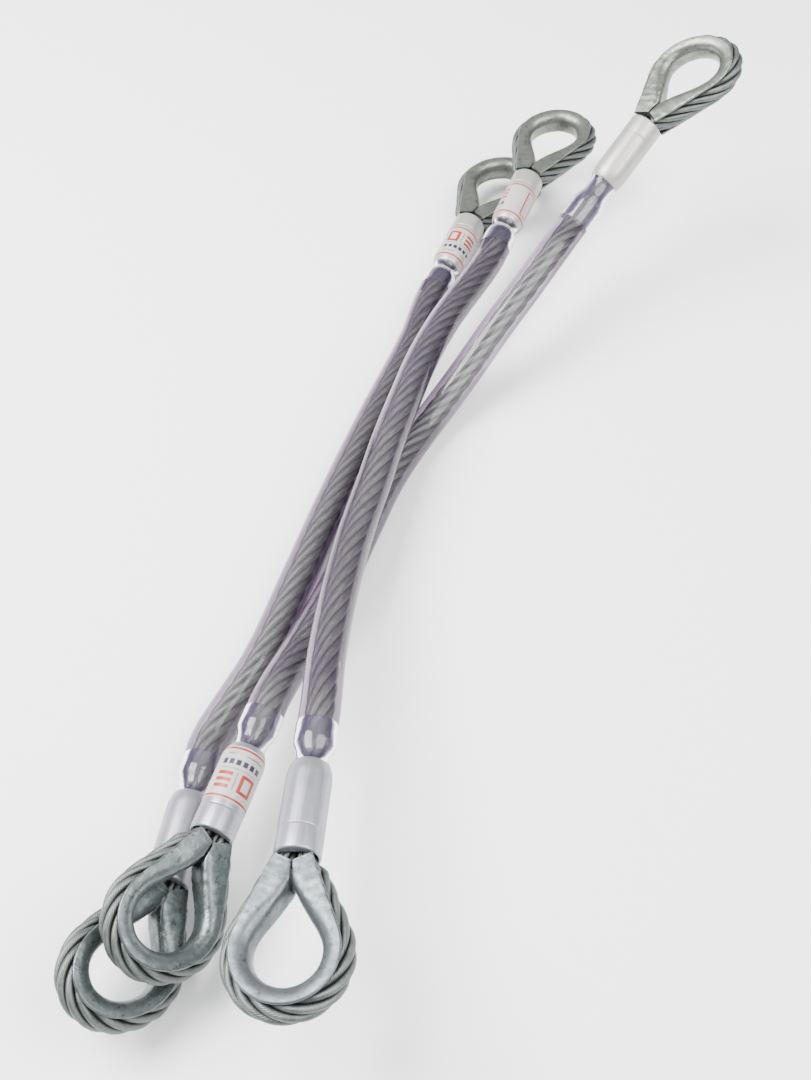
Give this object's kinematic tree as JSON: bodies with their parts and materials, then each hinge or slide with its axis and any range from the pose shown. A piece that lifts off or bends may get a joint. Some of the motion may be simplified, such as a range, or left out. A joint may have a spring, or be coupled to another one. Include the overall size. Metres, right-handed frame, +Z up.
{
  "type": "wire rope sling set",
  "caption": "Short steel wire rope slings with thimble eyes, pressed ferrules and clear sleeves, lying crossed in a loose bundle.",
  "frame": {"origin": "middle of the set on the surface it lies on", "axes": "+Y away from the lower eyes along the slings, +Z up"},
  "size_m": [0.2879, 0.5089, 0.1093],
  "materials": {
    "rope_steel": "galvanised round strands, satin, darker in the valleys",
    "thimble_zinc": "hot-dip galvanised, mottled satin grey",
    "ferrule_aluminium": "pressed aluminium, satin with fine draw lines",
    "sleeve_clear": "clear PVC with a lilac tint",
    "collar_clear": "clear shrink tubing with a lilac tint",
    "label_film": "printed paper label under clear film"
  },
  "bodies": {
    "a_lower_half": {"a_lower_rope": "rope_steel", "a_lower_sleeve": "sleeve_clear", "a_lower_collar": "collar_clear"},
    "a_lower_end": {"a_lower_ferrule": "ferrule_aluminium", "a_lower_eye_rope": "rope_steel", "a_lower_thimble": "thimble_zinc"},
    "a_upper_half": {"a_upper_rope": "rope_steel", "a_upper_sleeve": "sleeve_clear", "a_upper_collar": "collar_clear"},
    "a_upper_end": {"a_upper_ferrule": "ferrule_aluminium", "a_upper_eye_rope": "rope_steel", "a_upper_thimble": "thimble_zinc", "a_label": "label_film"},
    "b_lower_half": {"b_lower_rope": "rope_steel", "b_lower_sleeve": "sleeve_clear", "b_lower_collar": "collar_clear"},
    "b_lower_end": {"b_lower_ferrule": "ferrule_aluminium", "b_lower_eye_rope": "rope_steel", "b_lower_thimble": "thimble_zinc", "b_label": "label_film"},
    "b_upper_half": {"b_upper_rope": "rope_steel", "b_upper_sleeve": "sleeve_clear", "b_upper_collar": "collar_clear"},
    "b_upper_end": {"b_upper_ferrule": "ferrule_aluminium", "b_upper_eye_rope": "rope_steel", "b_upper_thimble": "thimble_zinc"},
    "c_lower_half": {"c_lower_rope": "rope_steel", "c_lower_sleeve": "sleeve_clear", "c_lower_collar": "collar_clear"},
    "c_lower_end": {"c_lower_ferrule": "ferrule_aluminium", "c_lower_eye_rope": "rope_steel", "c_lower_thimble": "thimble_zinc"},
    "c_upper_half": {"c_upper_rope": "rope_steel", "c_upper_sleeve": "sleeve_clear", "c_upper_collar": "collar_clear"},
    "c_upper_end": {"c_upper_ferrule": "ferrule_aluminium", "c_upper_eye_rope": "rope_steel", "c_upper_thimble": "thimble_zinc", "c_label": "label_film"}
  },
  "joints": [
    {"name": "b_lift", "type": "slide", "parent": "a_lower_half", "child": "b_lower_half", "axis": [0, 0, 1], "range_m": [0, 0.15]},
    {"name": "c_lift", "type": "slide", "parent": "b_lower_half", "child": "c_upper_half", "axis": [0, 0, 1], "range_m": [0, 0.15]},
    {"name": "a_bend", "type": "hinge", "parent": "a_lower_half", "child": "a_upper_half", "pos_m": [-0.06464, -0.02625, 0.008], "axis": [0, 0, 1], "range_deg": [0, 15]},
    {"name": "a_lower_neck", "type": "hinge", "parent": "a_lower_half", "child": "a_lower_end", "pos_m": [-0.10695, -0.15077, 0.0098], "axis": [0, 0, 1], "range_deg": [-25, 0]},
    {"name": "a_upper_neck", "type": "hinge", "parent": "a_upper_half", "child": "a_upper_end", "pos_m": [-0.00485, 0.14616, 0.00946], "axis": [0, 0, 1], "range_deg": [0, 20]},
    {"name": "b_bend", "type": "hinge", "parent": "b_lower_half", "child": "b_upper_half", "pos_m": [-0.0296, 0.01299, 0.00813], "axis": [0, 0, 1], "range_deg": [-20, 0]},
    {"name": "b_lower_neck", "type": "hinge", "parent": "b_lower_half", "child": "b_lower_end", "pos_m": [-0.08413, -0.13822, 0.02403], "axis": [0, 0, 1], "range_deg": [0, 25]},
    {"name": "b_upper_neck", "type": "hinge", "parent": "b_upper_half", "child": "b_upper_end", "pos_m": [0.07222, 0.15309, 0.05873], "axis": [0, 0, 1], "range_deg": [-20, 20]},
    {"name": "c_bend", "type": "hinge", "parent": "c_upper_half", "child": "c_lower_half", "pos_m": [-0.03267, 0.01386, 0.0272], "axis": [0, 0, 1], "range_deg": [-15, 15]},
    {"name": "c_lower_neck", "type": "hinge", "parent": "c_lower_half", "child": "c_lower_end", "pos_m": [-0.05848, -0.15595, 0.04647], "axis": [0, 0, 1], "range_deg": [-20, 20]},
    {"name": "c_upper_neck", "type": "hinge", "parent": "c_upper_half", "child": "c_upper_end", "pos_m": [0.02654, 0.16229, 0.02451], "axis": [0, 0, 1], "range_deg": [-20, 8]}
  ]
}
